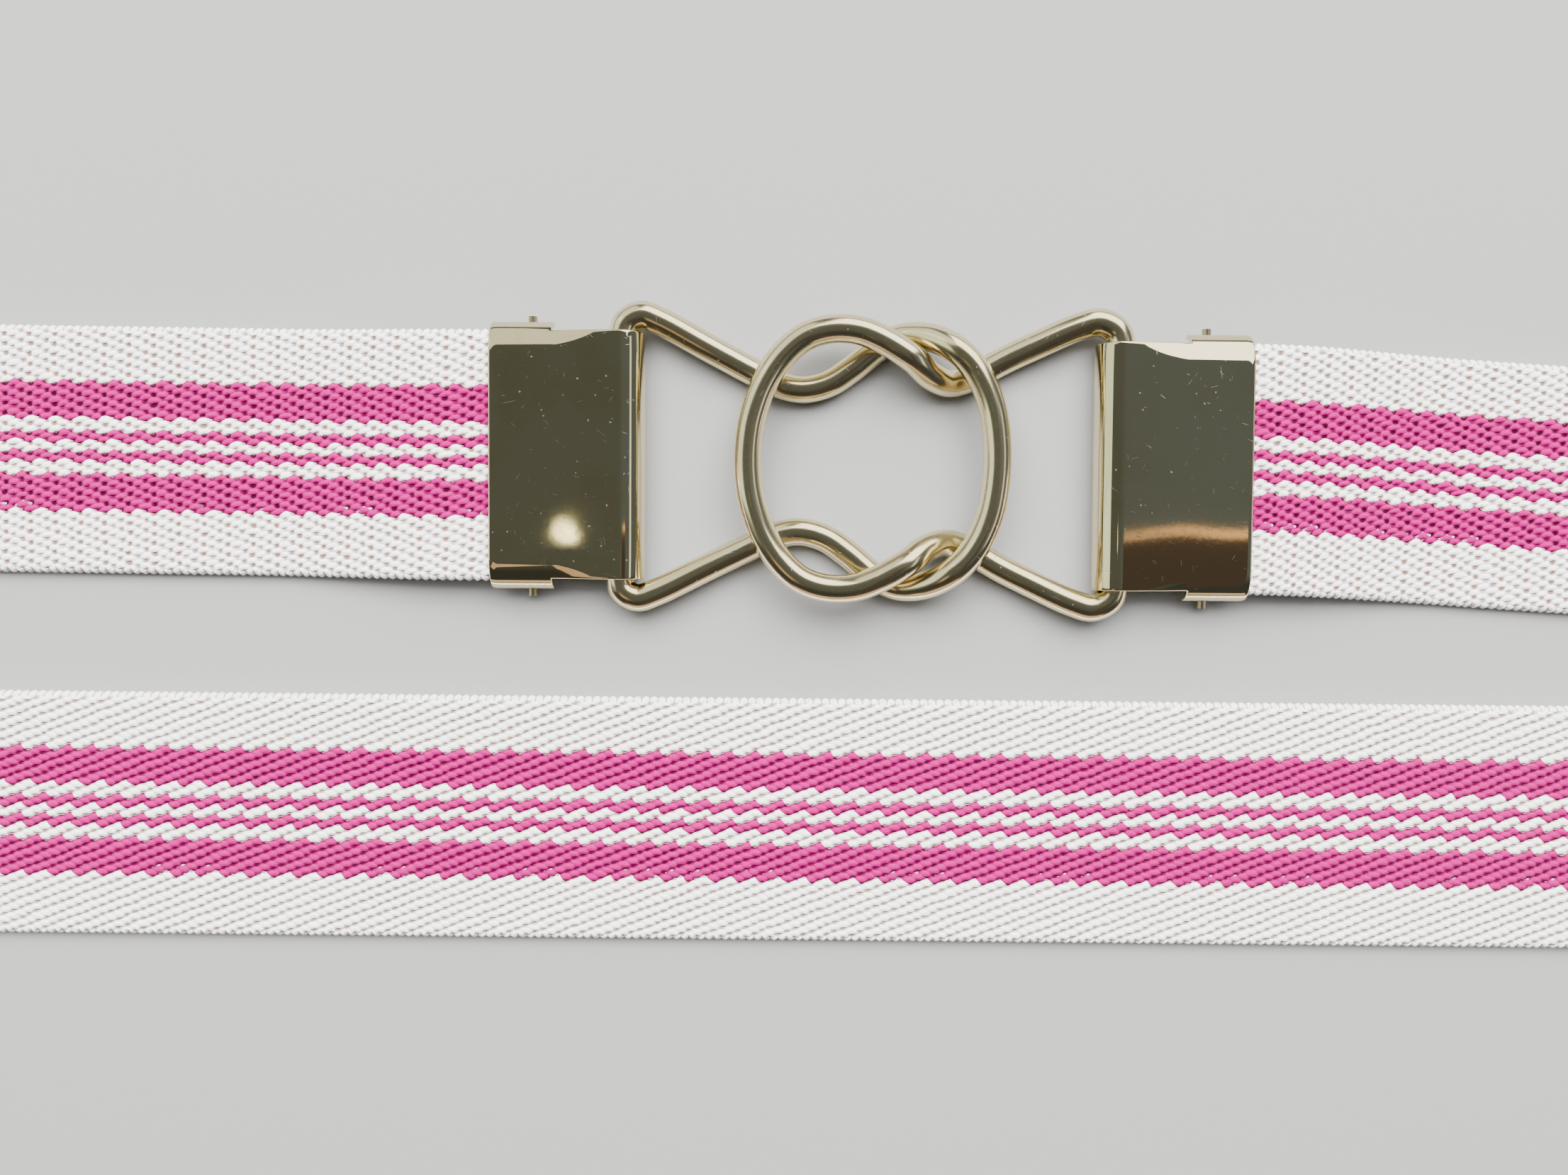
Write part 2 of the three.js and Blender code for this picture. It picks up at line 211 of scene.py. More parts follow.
def add_world():
    """A dim room, pale at the horizon, cooler towards +X, dark towards -Y, with a lamp and a brown panel.

    Overhead, a direction is given by its slopes: how far east and north it goes for each metre up.
    """
    f = Finish("studio", "worlds", "Background")
    way = f.node("ShaderNodeTexCoord", {}, {}, ("Generated",))
    x, y, z = f.node("ShaderNodeSeparateXYZ", {}, {0: way}, (0, 1, 2))
    height = f.math("MAXIMUM", z, 0.02)
    east, north = x / height, y / height
    colour = f.mix(east.ramp(-0.1, 0.4), ROOM["west"], ROOM["east"])
    colour = f.mix(north.ramp(-0.2, -0.9) * 0.75, colour, ROOM["south"])
    panel = east.ramp(0.2, 0.24) * (1 - east.ramp(0.5, 0.56))
    colour = f.mix(panel * north.ramp(0.0095, 0.0075) * north.ramp(-2.6, -1.6), colour, ROOM["panel"])
    rim = north.ramp(0.0075, 0.0095) * north.ramp(0.0165, 0.0135)
    colour = f.mix(panel * rim * (east.ramp(0.24, 0.42) * 0.6 + 0.4), colour, ROOM["rim"])
    lamp_x, lamp_y = east + 0.187, north - 0.0135
    long, wide = lamp_x * 0.8 - lamp_y * 0.6, lamp_x * 0.6 + lamp_y * 0.8  # along and across the tilted oval
    lamp = 1 - ((long / 0.0135).squared() + (wide / 0.0085).squared()).ramp(0.5, 1.2)
    colour = f.mix(lamp * long.ramp(-0.016, 0.002), colour, ROOM["lamp"])
    colour = f.mix(z.ramp(0.2, 0.0), colour, ROOM["horizon"])
    bpy.context.scene.world = f.finish({"Color": colour})


def add_table():
    bpy.ops.object.select_all(action="DESELECT")
    bpy.ops.mesh.primitive_plane_add(size=6, location=(0, 0, -0.00002))
    table = bpy.context.object
    table.name = "table"
    table.data.materials.append(pale_table())


# Shader arithmetic


class Shade:
    """An output of a finish's nodes that takes part in Python arithmetic."""

    def __init__(self, finish, socket):
        self.finish = finish
        self.socket = socket

    def __add__(self, other):
        return self.finish.math("ADD", self, other)

    def __radd__(self, other):
        return self.finish.math("ADD", other, self)

    def __sub__(self, other):
        return self.finish.math("SUBTRACT", self, other)

    def __rsub__(self, other):
        return self.finish.math("SUBTRACT", other, self)

    def __mul__(self, other):
        return self.finish.math("MULTIPLY", self, other)

    def __rmul__(self, other):
        return self.finish.math("MULTIPLY", other, self)

    def __truediv__(self, other):
        return self.finish.math("DIVIDE", self, other)

    def __gt__(self, other):
        return self.finish.math("GREATER_THAN", self, other)

    def __lt__(self, other):
        return self.finish.math("LESS_THAN", self, other)

    def squared(self):
        return self * self

    def clamped(self, low, high):
        return self.finish.math("MINIMUM", self.finish.math("MAXIMUM", self, low), high)

    def ramp(self, low, high):
        """0 at low and 1 at high, which may be below low, clamped, with soft ends."""
        return self.finish.node(
            "ShaderNodeMapRange", {"interpolation_type": "SMOOTHSTEP"},
            {"Value": self, "From Min": low, "From Max": high},
        )


class Finish:
    """A material, or the world, whose nodes are added by expressions."""

    def __init__(self, name, kept_in="materials", surface="Principled BSDF"):
        self.holder = getattr(bpy.data, kept_in).new(name)
        self.holder.use_nodes = True
        self.tree = self.holder.node_tree
        self.surface = self.tree.nodes[surface]

    def link(self, socket, value):
        if isinstance(value, Shade):
            self.tree.links.new(value.socket, socket)
        elif value is not None:
            socket.default_value = value

    def node(self, kind, settings, sockets, outputs=(0,)):
        """Adds a node: its settings first, then its sockets by number or name."""
        node = self.tree.nodes.new(kind)
        for setting, value in settings.items():
            setattr(node, setting, value)
        for key, value in sockets.items():
            self.link(node.inputs[key], value)
        shades = [Shade(self, node.outputs[key]) for key in outputs]
        return shades if len(shades) > 1 else shades[0]

    def math(self, operation, *values):
        return self.node("ShaderNodeMath", {"operation": operation}, dict(enumerate(values)))

    def attribute(self, name):
        vector = self.node("ShaderNodeAttribute", {"attribute_name": name}, {}, ("Vector",))
        return self.node("ShaderNodeSeparateXYZ", {}, {0: vector}, (0, 1, 2))

    def vector(self, *xyz):
        return self.node("ShaderNodeCombineXYZ", {}, dict(enumerate(xyz)))

    def place(self):
        return self.node("ShaderNodeTexCoord", {}, {}, ("Object",))

    def stretched(self, size, turn, shift):
        """The place in cells of a size in metres, turned about Z by so many degrees."""
        sockets = {"Vector": self.place(), "Location": shift, "Rotation": (0, 0, math.radians(turn)), "Scale": size}
        return self.node("ShaderNodeMapping", {"vector_type": "TEXTURE"}, sockets)

    def noise(self, where, scale, detail=2.0, roughness=0.5):
        sockets = {"Vector": where, "Scale": scale, "Detail": detail, "Roughness": roughness}
        return self.node("ShaderNodeTexNoise", {}, sockets)

    def mix(self, share, first, second):
        first, second = (tone if isinstance(tone, Shade) else (*tone, 1) for tone in (first, second))
        return self.node("ShaderNodeMix", {"data_type": "RGBA"}, {0: share, 6: first, 7: second}, (2,))

    def bump(self, height, distance):
        return self.node("ShaderNodeBump", {}, {"Height": height, "Distance": distance})

    def finish(self, sockets):
        for name, value in sockets.items():
            self.link(self.surface.inputs[name], value)
        return self.holder


# Finishes


def pale_table():
    f = Finish("pale_table")
    grain = f.noise(f.place(), 900, detail=4)
    colour = f.mix(grain * 0.1, (0.25, 0.25, 0.247), (0.22, 0.22, 0.218))
    return f.finish({"Base Color": colour, "Roughness": 0.9, "Normal": f.bump(grain, 0.00002)})


def scratches(f, turns):
    """Short hair scratches in several directions: 1 on a scratch, 0 elsewhere."""
    marks = 0
    for number, turn in enumerate(turns):
        lines = f.noise(f.stretched(SCRATCH, turn, (number * 0.9, 0, 0)), 1.0, detail=1.0)
        marks = marks + lines.ramp(0.785, 0.81)
    return marks


def gold_tone(name, tone, dullness):
    f = Finish(name)
    waviness = f.noise(f.place(), 70, detail=1.0)
    rubbed = f.noise(f.place(), 2600, detail=2.0)
    cloud = f.noise(f.place(), 150, detail=4.0, roughness=0.6)
    marks = scratches(f, (12, 55, 97, 140, -20))
    near = f.node("ShaderNodeTexVoronoi", {}, {"Vector": f.place(), "Scale": 900.0})
    ragged = f.noise(f.place(), 9000, detail=1.0)
    speck = (near + ragged * 0.16 < 0.15) * (cloud > 0.49)
    tarnish = cloud.ramp(0.42, 0.72)
    colour = f.mix(tarnish * 0.6, tone, tuple(channel * k for channel, k in zip(tone, (0.9, 0.86, 0.76))))
    colour = f.mix((speck + marks * 0.5) * 0.8, colour, (0.9, 0.88, 0.78))
    roughness = dullness + tarnish * 0.02 + rubbed.ramp(0.5, 0.8) * 0.015 + marks * 0.3 + speck * 0.4
    height = waviness * 0.4 + marks * -0.01 + speck * 0.02 + rubbed * 0.0015
    return f.finish({
        "Base Color": colour, "Metallic": 1.0, "Roughness": roughness, "Normal": f.bump(height, 0.00012),
    })


def striped_weave():
    """Pink and white yarn floats, which the weave's s, v and side place on the webbing, with painted shade between the
    floats and in their pits and a painted highlight on their tops.
    """
    f = Finish("striped_weave")
    s, v, side = f.attribute("weave")
    back = side > 0

    def by_side(key):
        return back * (BACK[key] - FACE[key]) + FACE[key]

    tilt, length, height, arch = by_side("tilt"), by_side("length"), by_side("height"), by_side("arch")
    pit_tilt, pit_length, pit_height = by_side("pit tilt"), by_side("pit length"), by_side("pit height")
    wedge, pit_shift = by_side("wedge"), by_side("pit shift")
    under = f.math("FLOOR", v / ROW)
    dome = owner = pit = None
    for step in (-1, 0, 1):
        row = under + step
        across = v - (row + 0.5) * ROW
        turns = s / FLOAT_PITCH - row / 3
        along = (turns - f.math("ROUND", turns)) * FLOAT_PITCH
        x = (along + tilt * across) / length
        y = (across - tilt * along - arch * (along.squared() - ARCH_LEVEL)) / height
        rise = 1 - x.squared() - y.squared()
        off = (turns - f.math("FLOOR", turns) - 0.5) * FLOAT_PITCH - pit_shift
        beside = v - row * ROW
        y = (beside - pit_tilt * off) / pit_height
        x = (off + pit_tilt * beside) / pit_length * (y.clamped(-1, 1) * wedge + 1)
        sink = (1 - (x.squared() + y.squared()).ramp(0.1, 1.6)) * pit_strength(row, back, f)
        if dome is None:
            dome, owner, pit = rise, row, sink
        else:
            higher = rise > dome
            owner = owner + higher * (row - owner)
            dome = f.math("MAXIMUM", dome, rise)
            pit = f.math("MAXIMUM", pit, sink)

    pink = 0
    for place, row in enumerate(STRIPES):
        change = owner > row - 0.5
        pink = pink + change if place % 2 == 0 else pink - change

    patch = f.noise(f.vector(s, v, side), 0.12, detail=2.0)
    yarn = f.noise(f.vector(s * 1.2, v * 4.0, side), 3.0, detail=3.0)
    fibre = f.noise(f.vector(s * 3.0 + v * 1.2, v * 14.0, side), 1.6, detail=2.0)
    edge = 1 - f.math("ABSOLUTE", side)
    # Painted shade: depth darkens the yarn between the floats and in the pits, down to its shade colour.
    depth = dome.ramp(-0.35, 0.7) * 0.65 + 0.35
    depth = f.math("MINIMUM", depth, 1 - pit * (patch * 0.4 + 0.95))

    white = f.mix(depth, *WHITE_YARN_WITH_PAINTED_LIGHT[:2])
    # Painted highlight on the floats' tops, in patches of paler fibres, here and for the pink yarn below.
    white = f.mix(yarn.ramp(0.35, 0.75) * depth * 0.3, white, WHITE_YARN_WITH_PAINTED_LIGHT[2])
    rose = f.mix(depth, *PINK_YARN_WITH_PAINTED_LIGHT[:2])
    rose = f.mix((yarn + fibre).ramp(0.9, 1.3) * depth * 0.35, rose, PINK_YARN_WITH_PAINTED_LIGHT[2])
    colour = f.mix(pink, white, rose)
    fleck = (owner > FLECKED_ROW - 0.5) * (owner < FLECKED_ROW + 0.5) * pit * patch.ramp(0.5, 0.56)
    colour = f.mix(fleck * 0.7, colour, PALE_FLECK)
    selvedge = f.mix(selvedge_slit(s, f), SELVEDGE_YARN, SELVEDGE_SHADE)
    colour = f.mix(edge.ramp(0.05, 0.3), colour, selvedge)
    swell = f.math("SQRT", f.math("MAXIMUM", dome + 0.1, 0.0))
    relief = swell * (1 - pit * 0.7) + fibre * 0.22 + yarn * 0.2
    return f.finish({
        "Base Color": colour, "Roughness": 0.8, "Normal": f.bump(relief, 0.00024),
        "Sheen Weight": 0.03, "Sheen Roughness": 0.4, "Specular IOR Level": 0.1,
    })


def pit_strength(row, back, f):
    """Of every three rows of the face, one dives deep, one less and one least. The back's are alike."""
    third = f.math("FLOORED_MODULO", row, 3.0)
    shallow = (third > 0.5) * 0.4 - (third > 1.5) * 0.2
    return 1 - shallow * (1 - back) - back * 0.2


def selvedge_slit(s, f):
    """1 in the slits between the selvedge's loops."""
    loops = s * (SELVEDGE_LOOPS / FLOAT_PITCH)
    gap = loops - f.math("ROUND", loops)
    return 1 - gap.squared().ramp(0.0, 0.025)


# Webbing


def beside_clip(side, from_bar, skew):
    """Place and heading of the webbing's table edge at a distance from the wire's bar, as it leaves a clip."""
    heading = BUCKLE_TURN + CLIP_TURN + skew
    bar, clip, strap = (math.radians(a) for a in (BUCKLE_TURN, BUCKLE_TURN + CLIP_TURN, heading))
    beyond = from_bar - STRAP_END
    out_x = BAR_X * math.cos(bar) + STRAP_END * math.cos(clip) + beyond * math.cos(strap)
    out_y = BAR_X * math.sin(bar) + STRAP_END * math.sin(clip) + beyond * math.sin(strap)
    return (
        side * out_x - WIDTH / 2 * math.sin(strap),
        side * out_y + WIDTH / 2 * math.cos(strap) + (CLIP_SLIP if side > 0 else 0),
        heading if side > 0 else heading - 360,
    )


# x, y, heading, reach, lean and lift of the table edge, as in the solids
STATIONS = [
    (*beside_clip(1, STRAP_END, -1), 2, 90, LIFT_IN_CLIP),
    (*beside_clip(1, CLEAR_OF_CLIP, -1), 6, 90, LIFT_IN_CLIP),
    (60.5, 10.4, -3.9, 6, 90, 0),
    (77, 9.3, -3.7, 18, 90, 0),
    (TURN_X, -9.2, -90, 12, 0, 0),
    (92, -25.15, -180.6, 22, -90, 0),
    (-92, -23.25, -180.6, 22, -90, 0),
    (-TURN_X, -4.2, -270, 13, 0, 0),
    (-90, 13.95, -360.9, 20, 90, 0),
    (-60.5, 13.5, -361, 6, 90, 0),
    (*beside_clip(-1, CLEAR_OF_CLIP, 0), 6, 90, LIFT_IN_CLIP),
    (*beside_clip(-1, STRAP_END, 0), 2, 90, LIFT_IN_CLIP),
]


def towards(heading):
    return np.array([math.cos(math.radians(heading)), math.sin(math.radians(heading))])


def strap_path():
    """Table edge, its direction, lean and lift at close steps, and the distance run, in millimetres."""
    points, tangents, leans, lifts = [], [], [], []
    fine = np.linspace(0, 1, CURVE_POINTS)[:, None]
    for start, end in zip(STATIONS, STATIONS[1:]):
        *a, heading_a, reach_a, lean_a, lift_a = start
        *b, heading_b, reach_b, lean_b, lift_b = end
        a, b = np.array(a), np.array(b)
        p, q = a + reach_a * towards(heading_a), b - reach_b * towards(heading_b)
        curve = a * (1 - fine) ** 3 + 3 * p * fine * (1 - fine) ** 2 + 3 * q * fine**2 * (1 - fine) + b * fine**3
        slope = 3 * ((p - a) * (1 - fine) ** 2 + 2 * (q - p) * fine * (1 - fine) + (b - q) * fine**2)
        run = np.r_[0, np.cumsum(np.linalg.norm(np.diff(curve, axis=0), axis=1))]
        share = run / run[-1]
        blend = share * share * (3 - 2 * share)
        keep = slice(0 if not points else 1, None)
        points.append(curve[keep])
        tangents.append(slope[keep] / np.linalg.norm(slope[keep], axis=1)[:, None])
        leans.append((lean_a + (lean_b - lean_a) * blend)[keep])
        lifts.append((lift_a + (lift_b - lift_a) * blend)[keep])
    points, tangents = np.concatenate(points), np.concatenate(tangents)
    distance = np.r_[0, np.cumsum(np.linalg.norm(np.diff(points, axis=0), axis=1))]
    return points, tangents, np.radians(np.concatenate(leans)), np.concatenate(lifts), distance


def weave_height(s, v, back):
    """Height of the weave, 0 to 1, over distances s along and v across the webbing."""
    kind = {key: np.where(back, BACK[key], FACE[key]) for key in FACE}
    under = np.floor(v / ROW)
    dome, pit = -1.0, 0.0
    for step in (-1, 0, 1):
        row = under + step
        across = v - (row + 0.5) * ROW
        turns = s / FLOAT_PITCH - row / 3
        along = (turns - np.round(turns)) * FLOAT_PITCH
        x = (along + kind["tilt"] * across) / kind["length"]
        y = (across - kind["tilt"] * along - kind["arch"] * (along**2 - ARCH_LEVEL)) / kind["height"]
        dome = np.maximum(dome, 1 - x**2 - y**2)
        off = (turns - np.floor(turns) - 0.5) * FLOAT_PITCH - kind["pit shift"]
        beside = v - row * ROW
        y = (beside - kind["pit tilt"] * off) / kind["pit height"]
        x = (off + kind["pit tilt"] * beside) / kind["pit length"] * (1 + kind["wedge"] * np.clip(y, -1, 1))
        third = np.mod(row, 3)
        strength = 1 - np.where(back, 0.2, (third > 0.5) * 0.4 - (third > 1.5) * 0.2)
        pit = np.maximum(pit, strength * np.exp(-((x**2 + y**2) ** 1.3)))
    return np.sqrt(np.maximum(dome + FLOAT_FOOT, 0) / (1 + FLOAT_FOOT)) * (1 - PIT_SHARE * pit)


def wander(s, v, seed, waves=14):
    """A smooth seeded unevenness of about -1 to 1, a few floats long and a yarn or two wide."""
    random = np.random.default_rng(seed)
    total = np.zeros(s.shape)
    for _ in range(waves):
        along = 2 * math.pi / random.uniform(1.8, 9)
        across = 2 * math.pi / random.uniform(0.8, 5) * random.choice((-1, 1))
        total += np.sin(along * s + across * v + random.uniform(0, 2 * math.pi))
    return total / math.sqrt(waves)


def section_profile():
    """Round the webbing's section: distance across, through, outward direction and side, -1 face to 1 back."""
    flat = np.arange(4, 2 * ROWS - 3) * ROW / 2
    turn = np.linspace(-math.pi / 2, math.pi / 2, 9)[1:-1]
    depth = HALF_THICKNESS - RELIEF
    reach = SELVEDGE - SELVEDGE_INSET

    def rounded(middle, hand, angles):
        return [
            (middle + hand * reach * math.cos(a), depth * math.sin(a), hand * math.cos(a), math.sin(a), 2 * a / math.pi)
            for a in angles
        ]

    return np.array([
        *((v, -depth, 0, -1, -1) for v in flat),
        *rounded(WIDTH - SELVEDGE, 1, turn),
        *((v, depth, 0, 1, 1) for v in flat[::-1]),
        *rounded(SELVEDGE, -1, turn[::-1]),
    ])


def strap_surface():
    """Points, weave places and normals of the whole webbing, as rings along it."""
    points, tangents, leans, lifts, distance = strap_path()
    count = int(round(distance[-1] / ALONG_STEP / STRAP_PIECES)) * STRAP_PIECES
    s = np.linspace(0, distance[-1], count + 1)
    point = np.stack([np.interp(s, distance, points[:, axis]) for axis in (0, 1)], 1)
    tangent = np.stack([np.interp(s, distance, tangents[:, axis]) for axis in (0, 1)], 1)
    tangent /= np.linalg.norm(tangent, axis=1)[:, None]
    lean, lift = np.interp(s, distance, leans), np.interp(s, distance, lifts)
    along = np.c_[tangent, np.zeros(count + 1)]
    across = np.c_[tangent[:, 1] * np.sin(lean), -tangent[:, 0] * np.sin(lean), np.cos(lean)]
    through = np.cross(along, across)
    edge = np.c_[point, HALF_THICKNESS * np.abs(np.sin(lean)) + lift]

    v, w, out_v, out_w, side = section_profile().T
    even = np.arange(count + 1) * ALONG_STEP  # so that every second ring falls between two of the selvedge's loops
    s_grid, v_grid = np.broadcast_arrays(even[:, None], v[None, :])
    flatness = np.clip((np.abs(side) - 0.75) * 4, 0, 1)[None, :]
    weave_s = s_grid + WANDER_ALONG * wander(s_grid, v_grid, 3) * flatness
    weave_v = v_grid + WANDER_ACROSS * wander(s_grid, v_grid, 4) * flatness
    height = weave_height(weave_s, weave_v, side[None, :] > 0) * (1 + UNEVENNESS * wander(s_grid, v_grid, 5))
    loop = weave_s * SELVEDGE_LOOPS / FLOAT_PITCH
    selvedge = np.sqrt(np.maximum(0, 1 - (2 * (loop - np.floor(loop)) - 1) ** 2))
    rise = RELIEF * np.clip(flatness * height + (1 - flatness) * selvedge, 0, 1)
    v_out = v + out_v * rise
    w_out = w + out_w * rise
    place = (edge[:, None, :] + across[:, None, :] * v_out[..., None] + through[:, None, :] * w_out[..., None])
    place = (place + np.array(MIDDLE)) * MM
    normal = np.cross(np.roll(place, -1, axis=1) - np.roll(place, 1, axis=1), np.gradient(place, axis=0))
    normal /= np.linalg.norm(normal, axis=2)[..., None]
    weave_place = np.stack([weave_s, weave_v, np.broadcast_to(side, s_grid.shape)], 2)
    return place, normal, weave_place


def ring_mesh(name, place, normal, weave_place, material):
    """A closed length of webbing from its rings, with flat hidden ends."""
    rings, sides = place.shape[:2]
    corner = np.arange(rings * sides).reshape(rings, sides)
    a, b = corner[:-1], np.roll(corner[:-1], -1, axis=1)
    c, d = np.roll(corner[1:], -1, axis=1), corner[1:]
    quads = np.stack([a, b, c, d], 2).reshape(-1, 4)
    first_end, last_end = corner[0][::-1], corner[-1]
    mesh = bpy.data.meshes.new(name)
    mesh.vertices.add(rings * sides)
    mesh.vertices.foreach_set("co", place.astype(np.float32).ravel())
    loops = np.r_[quads.ravel(), first_end, last_end]
    mesh.loops.add(len(loops))
    mesh.loops.foreach_set("vertex_index", loops.astype(np.int32))
    starts = np.r_[np.arange(len(quads)) * 4, len(quads) * 4, len(quads) * 4 + sides]
    mesh.polygons.add(len(quads) + 2)
    mesh.polygons.foreach_set("loop_start", starts.astype(np.int32))
    mesh.update(calc_edges=True)
    mesh.validate()
    mesh.shade_smooth()
    weave = mesh.attributes.new("weave", "FLOAT_VECTOR", "POINT")
    weave.data.foreach_set("vector", weave_place.astype(np.float32).ravel())

    u, v = np.meshgrid(np.arange(rings) / (rings - 1), np.arange(sides + 1) / sides, indexing="ij")
    uv = np.stack([u, v], 2)
    uv = np.stack([uv[:-1, :-1], uv[:-1, 1:], uv[1:, 1:], uv[1:, :-1]], 2)
    ends = np.repeat([[0.0, 0.0], [1.0, 0.0]], sides, axis=0)
    layer = mesh.uv_layers.new(name="OFBake")
    layer.uv.foreach_set("vector", np.concatenate([uv.reshape(-1, 2), ends]).astype(np.float32).ravel())
    mesh.normals_split_custom_set_from_vertices(normal.reshape(-1, 3))
    mesh.materials.append(material)
    webbing = bpy.data.objects.new(name, mesh)
    bpy.context.scene.collection.objects.link(webbing)
    return webbing


def add_webbing():
    place, normal, weave_place = strap_surface()
    material = striped_weave()
    cuts = np.linspace(0, len(place) - 1, STRAP_PIECES + 1).astype(int)
    for number, (start, end) in enumerate(zip(cuts, cuts[1:]), 1):
        part = slice(start, end + 1)
        webbing = ring_mesh(f"webbing_{number}", place[part], normal[part], weave_place[part], material)
        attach(webbing, "root")
        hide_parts("webbing_strap")


# Clasp


def clasp_matrix(side):
    """From one clasp half's own frame, its bar on the -X side, to the belt's, in metres."""
    turn = Matrix.Rotation(math.radians(BUCKLE_TURN) + (math.pi if side == "right" else 0), 4, "Z")
    return Matrix.Scale(MM, 4) @ Matrix.Translation(MIDDLE) @ turn


def clip_matrix(side):
    slip = -CLIP_SLIP if side == "right" else 0
    return (
        clasp_matrix(side)
        @ Matrix.Translation((-BAR_X, slip, 0))
        @ Matrix.Rotation(math.radians(CLIP_TURN), 4, "Z")
    )


def through_knots(knots, spacing):
    """Centripetal Catmull-Rom curve through knots, sampled at about the given spacing."""
    knots = [Vector(k) for k in knots]
    knots = [2 * knots[0] - knots[1], *knots, 2 * knots[-1] - knots[-2]]
    curve = []
    for p0, p1, p2, p3 in zip(knots, knots[1:], knots[2:], knots[3:]):
        d0, d1, d2 = (math.sqrt((b - a).length) for a, b in ((p0, p1), (p1, p2), (p2, p3)))
        leave = ((p1 - p0) / d0 - (p2 - p0) / (d0 + d1) + (p2 - p1) / d1) * d1
        arrive = ((p2 - p1) / d1 - (p3 - p1) / (d1 + d2) + (p3 - p2) / d2) * d1
        steps = max(1, round((p2 - p1).length / spacing))
        for k in range(steps):
            t = k / steps
            curve.append(
                (2 * t**3 - 3 * t**2 + 1) * p1 + (t**3 - 2 * t**2 + t) * leave
                + (3 * t**2 - 2 * t**3) * p2 + (t**3 - t**2) * arrive
            )
    return [*curve, knots[-2]]


def add_wire_frame(side, half, material):
    start = (half[0][0], BUTT_GAP / 2, half[0][2])
    mirrored = [(x, -y, z) for x, y, z in reversed(half)]
    end = (start[0], -start[1], start[2])
    path = through_knots([start, *half, *mirrored, end], WIRE_STEP)
    bpy.ops.object.select_all(action="DESELECT")
    bpy.ops.curve.primitive_nurbs_path_add()
    wire = bpy.context.object
    wire.name = f"wire_frame_{side}"
    shape = wire.data
    shape.splines.clear()
    spline = shape.splines.new("POLY")
    spline.points.add(len(path) - 1)
    for point, place in zip(spline.points, path):
        point.co = (*place, 1)
    shape.dimensions = "3D"
    shape.twist_mode = "MINIMUM"
    shape.bevel_depth = WIRE_RADIUS
    shape.bevel_resolution = 9
    shape.use_fill_caps = True
    bpy.ops.object.convert(target="MESH")
    wire = bpy.context.object
    wire.data.name = wire.name
    wire.data.transform(clasp_matrix(side))
    bpy.ops.object.shade_smooth_by_angle(angle=SMOOTH_ANGLE)
    wire.data.materials.clear()
    wire.data.materials.append(material)
    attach(wire, "root")
    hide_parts(f"loop_{side}")


def select_points(mesh, wanted):
    """Selects the vertices that wanted(x, y, z) takes, and nothing else. Runs in edit mode."""
    shell = bmesh.from_edit_mesh(mesh)
    bpy.ops.mesh.select_all(action="DESELECT")
    for vertex in shell.verts:
        vertex.select_set(bool(wanted(*vertex.co)))
    shell.select_flush(True)
    bmesh.update_edit_mesh(mesh)


def roll_edges(mesh):
    """Rolls the plate's long edges down, most beside the ears and hardly at the barrel."""
    half = CLIP_WIDTH / 2
    steps = np.linspace(0, 1, ROLL_STEPS + 1)
    tilt = np.tan(np.radians(ROLL_TILT) * steps**ROLL_EASE)
    drops = np.r_[0, np.cumsum((tilt[1:] + tilt[:-1]) / 2)] * ROLL_WIDTH / ROLL_STEPS
    for vertex in mesh.vertices:
        x, y, z = vertex.co
        fade = min(1, max(0, (-x - ROLL_START) / ROLL_SPAN)) ** 1.4
        drop = np.interp((abs(y) - half + ROLL_WIDTH) / ROLL_WIDTH, steps, drops)
        lip = max(0.0, -x - (CLIP_LENGTH - MOUTH_LIP)) / MOUTH_LIP
        vertex.co.z = z - drop * (ROLL_LEAST + (1 - ROLL_LEAST) * fade) - MOUTH_DROP * lip**2


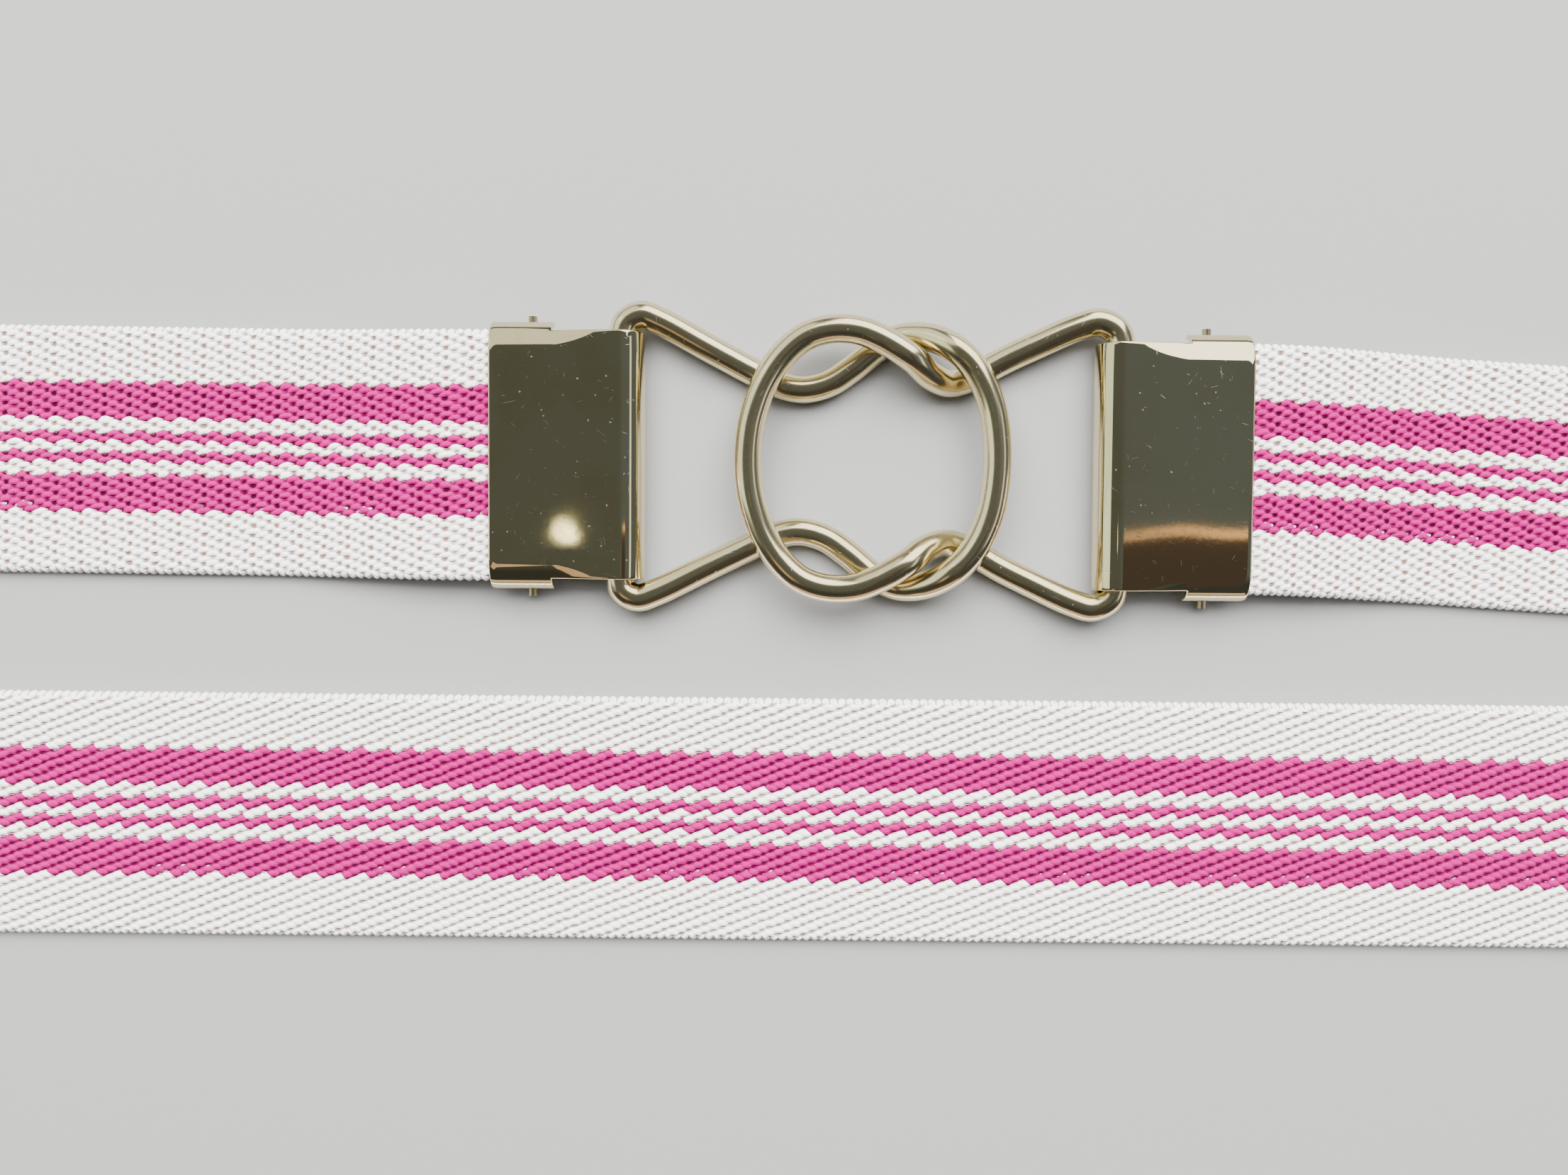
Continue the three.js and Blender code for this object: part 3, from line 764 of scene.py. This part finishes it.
def add_clip(side, material):
    """Plate, barrel round the wire's bar, leaf below it, and two ears at the mouth."""
    top = 2 * BARREL_RADIUS
    ear_root = EAR_LENGTH - CLIP_LENGTH
    half = CLIP_WIDTH / 2
    bpy.ops.object.select_all(action="DESELECT")
    bpy.ops.mesh.primitive_grid_add(x_subdivisions=PLATE_CELLS[0], y_subdivisions=PLATE_CELLS[1], size=1)
    clip = bpy.context.object
    clip.name = f"folded_clip_{side}"
    mesh = clip.data
    mesh.name = clip.name
    mesh.transform(Matrix.Translation((-CLIP_LENGTH / 2, 0, top)) @ Matrix.Diagonal((CLIP_LENGTH, CLIP_WIDTH, 1, 1)))
    roll_edges(mesh)

    bpy.ops.object.mode_set(mode="EDIT")
    select_points(mesh, lambda x, y, z: x > -1e-4)
    bpy.ops.mesh.spin(steps=BARREL_STEPS, angle=-math.pi, center=(0, 0, BARREL_RADIUS), axis=(0, 1, 0))
    select_points(mesh, lambda x, y, z: abs(x) < NEAR and z < BARREL_RADIUS / 4)
    for _ in range(LEAF_STEPS):
        bpy.ops.mesh.extrude_region_move(TRANSFORM_OT_translate={"value": (-LEAF_LENGTH / LEAF_STEPS, 0, 0)})
    bend_y, bend_z = bend_centre(mesh)
    for hand in (1, -1):
        select_points(mesh, lambda x, y, z: x < ear_root + NEAR and y * hand > half - NEAR)
        bpy.ops.mesh.spin(
            steps=EAR_BEND_STEPS, angle=hand * math.radians(90 - ROLL_TILT),
            center=(0, hand * bend_y, bend_z), axis=(1, 0, 0),
        )
        for _ in range(EAR_STEPS):
            select_points(mesh, lambda x, y, z: y * hand > half + EAR_PAST and z < lowest(mesh, hand) + NEAR)
            step = (bend_z - EAR_BOTTOM) / EAR_STEPS
            bpy.ops.mesh.extrude_region_move(TRANSFORM_OT_translate={"value": (0, 0, -step)})
    bpy.ops.mesh.select_all(action="SELECT")
    bpy.ops.mesh.remove_doubles(threshold=1e-4)
    bpy.ops.mesh.normals_make_consistent(inside=False)
    bpy.ops.object.mode_set(mode="OBJECT")
    face_up(mesh)

    thicken = clip.modifiers.new("sheet", "SOLIDIFY")
    thicken.thickness = SHEET
    thicken.offset = -1
    thicken.use_even_offset = True
    bpy.ops.object.modifier_apply(modifier="sheet")
    punch_pin_holes(clip)
    soften = clip.modifiers.new("edges", "BEVEL")
    soften.width = EDGE_RADIUS
    soften.segments = 3
    soften.limit_method = "ANGLE"
    soften.angle_limit = math.radians(50)
    bpy.ops.object.modifier_apply(modifier="edges")
    mesh.transform(clip_matrix(side))
    bpy.ops.object.shade_smooth_by_angle(angle=SMOOTH_ANGLE)
    mesh.materials.append(material)
    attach(clip, "root")
    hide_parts(f"clip_{side}")


def bend_centre(mesh):
    """Centre of an ear's bend, in y and z, from the rolled edge where it starts."""
    shell = bmesh.from_edit_mesh(mesh)
    beside_ear = (-CLIP_LENGTH + 1, -7)
    edge = [v.co for v in shell.verts if v.co.y > CLIP_WIDTH / 2 - NEAR]
    edge_z = min(co.z for co in edge if beside_ear[0] < co.x < beside_ear[1])
    tilt = math.radians(ROLL_TILT)
    return CLIP_WIDTH / 2 - EAR_BEND * math.sin(tilt), edge_z - EAR_BEND * math.cos(tilt)


def lowest(mesh, hand):
    """Height of the lowest vertex of the ear on one hand."""
    shell = bmesh.from_edit_mesh(mesh)
    return min(v.co.z for v in shell.verts if v.co.y * hand > CLIP_WIDTH / 2 + EAR_PAST)


def face_up(mesh):
    """Turns the faces so that the plate's point up."""
    level = [face for face in mesh.polygons if abs(face.normal.z) > 0.99 and face.center.z > 4.5]
    if max(level, key=lambda face: face.area).normal.z < 0:
        mesh.flip_normals()


def punch_pin_holes(clip):
    """Cuts the clamp gate's pin hole through both ears."""
    bpy.ops.object.select_all(action="DESELECT")
    bpy.ops.mesh.primitive_cylinder_add(
        vertices=40, radius=PIN_HOLE_RADIUS, depth=2 * EAR_HALF_SPAN + 4,
        location=(PIN_X, 0, PIN_Z), rotation=(math.pi / 2, 0, 0),
    )
    punch = bpy.context.object
    clip.select_set(True)
    bpy.context.view_layer.objects.active = clip
    cut = clip.modifiers.new("holes", "BOOLEAN")
    cut.operation = "DIFFERENCE"
    cut.solver = "EXACT"
    cut.object = punch
    bpy.ops.object.modifier_apply(modifier="holes")
    bpy.data.objects.remove(punch)


def dress_gates(material):
    for side in ("left", "right"):
        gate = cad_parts[f"clamp_gate_{side}"]
        gate.data.materials.clear()
        gate.data.materials.append(material)


add_camera()
add_table()
for area_light in AREA_LIGHTS:
    add_area_light(*area_light)
add_daylight((0.0, -0.42, -0.62), 6.0)
add_world()

add_webbing()
wire_gold = gold_tone("gold_wire", (0.80, 0.70, 0.44), 0.18)
clip_gold = gold_tone("gold_clip", (0.74, 0.65, 0.41), 0.03)
for hand_side, wire_half in (("left", LEFT_WIRE), ("right", RIGHT_WIRE)):
    add_wire_frame(hand_side, wire_half, wire_gold)
    add_clip(hand_side, clip_gold)
dress_gates(gold_tone("gate_gold", (0.5, 0.42, 0.26), 0.32))
